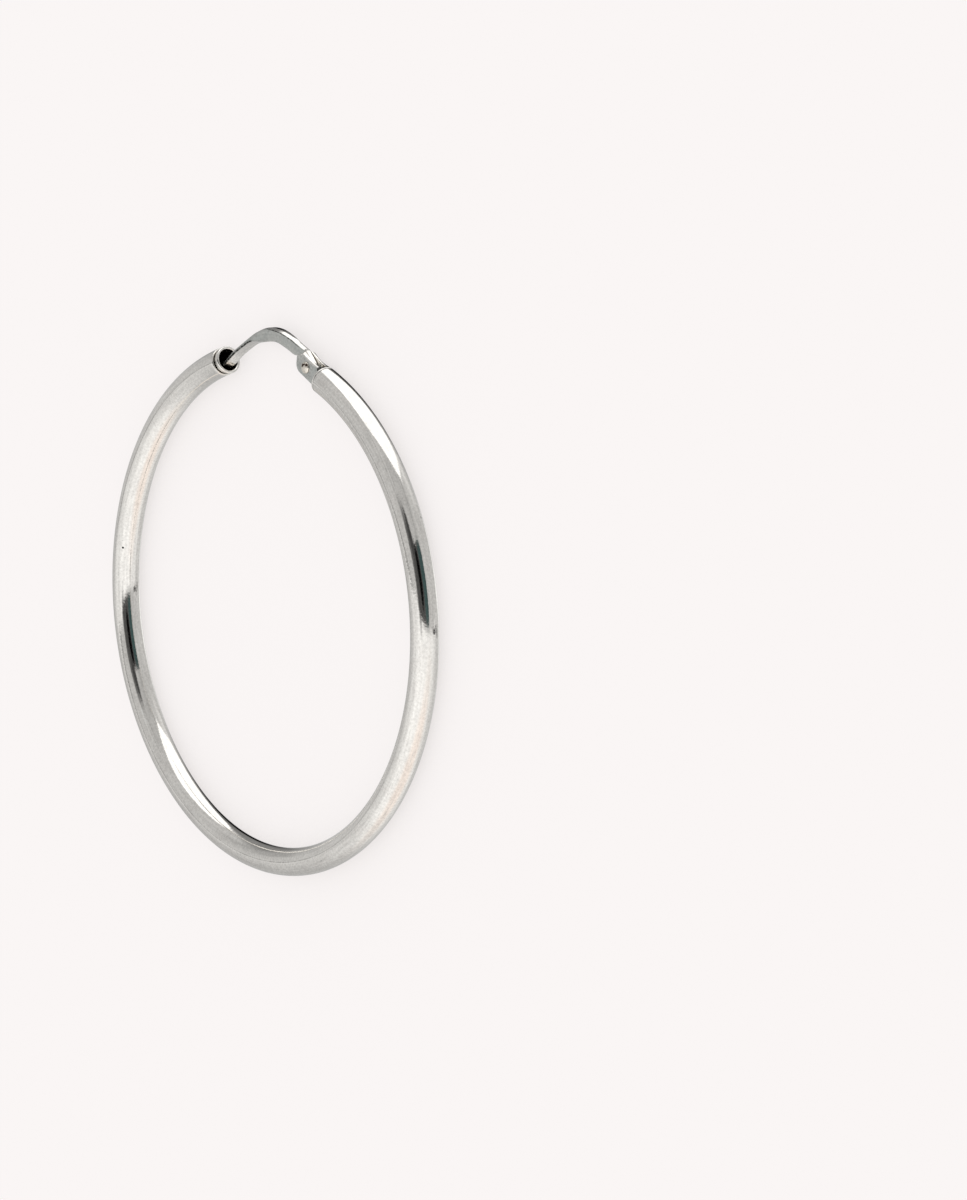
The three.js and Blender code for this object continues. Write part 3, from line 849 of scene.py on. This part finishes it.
world = bpy.data.worlds.new("studio")
world.use_nodes = True
scene.world = world
room = world.node_tree
room.nodes.clear()
direction = addNode(room, "ShaderNodeTexCoord").outputs["Generated"]
towards = addNode(room, "ShaderNodeSeparateXYZ", {0: direction}).outputs
azimuth = calc(room, "DEGREES", calc(room, "ARCTAN2", towards[1], towards[0]))
elevation = calc(room, "DEGREES", calc(room, "ARCSINE", towards[2]))
cardGroup = makeCardGroup()
mirrored = greyCard(studio["plainGrey"])
for level, middleAzimuth, middleElevation, halfWidth, halfHeight, softness, squareness, slant in cards:
    mask = useGroup(room, cardGroup, {
        "Azimuth": azimuth, "Elevation": elevation, "Middle azimuth": middleAzimuth,
        "Middle elevation": middleElevation, "Half width": halfWidth, "Half height": halfHeight,
        "Softness": softness, "Squareness": squareness, "Slant": slant,
    })["Mask"]
    mirrored = mixed(room, mask, mirrored, greyCard(level))
rays = addNode(room, "ShaderNodeLightPath").outputs
seen = mixed(room, rays["Is Glossy Ray"], studio["light"], mirrored)
seen = mixed(room, rays["Is Camera Ray"], seen, studio["backdrop"])
background = addNode(room, "ShaderNodeBackground", {0: seen, 1: 1.0})
worldOutput = addNode(room, "ShaderNodeOutputWorld")
room.links.new(background.outputs[0], worldOutput.inputs[0])

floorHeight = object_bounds()[0].z
reach = studio["floorReach"]
floorMesh = bpy.data.meshes.new("floor")
corners = [(-reach, -reach), (reach, -reach), (reach, reach), (-reach, reach)]
floorMesh.from_pydata([(x, y, floorHeight) for x, y in corners], [], [(0, 1, 2, 3)])
floor = bpy.data.objects.new("floor", floorMesh)
scene.collection.objects.link(floor)
floor.visible_glossy = False
paper = bpy.data.materials.new("floorPaper")
paper.use_nodes = True
paperSurface = paper.node_tree.nodes["Principled BSDF"]
# two thirds of the floor's light are its own, so that the hoop's shadow stays faint
paperSurface.inputs["Base Color"].default_value = (0.3, 0.2887, 0.2867, 1.0)
paperSurface.inputs["Emission Color"].default_value = (0.638, 0.614, 0.609, 1.0)
paperSurface.inputs["Emission Strength"].default_value = 1.0
paperSurface.inputs["Roughness"].default_value = 1.0
paperSurface.inputs["Specular IOR Level"].default_value = 0.0
floorMesh.materials.append(paper)
print("studio made")


view = {
    "place": (353.443, 72.362, 257.87),
    "right": (0.6196, 0.0182, -0.7847),
    "up": (-0.1387, 0.9865, -0.0866),
    "back": (0.7726, 0.1624, 0.6138),
    "lens": 150.0,
}
cameraData = bpy.data.cameras.new("camera")
cameraData.lens, cameraData.sensor_width = view["lens"], 36.0
cameraData.clip_start, cameraData.clip_end = 0.01, 10.0
camera = bpy.data.objects.new("camera", cameraData)
scene.collection.objects.link(camera)
turnMatrix = Matrix([view["right"], view["up"], view["back"]]).transposed()
camera.matrix_world = Matrix.Translation([x * mm for x in view["place"]]) @ turnMatrix.to_4x4()
scene.camera = camera
scene.view_settings.view_transform = "Standard"
print("camera set")
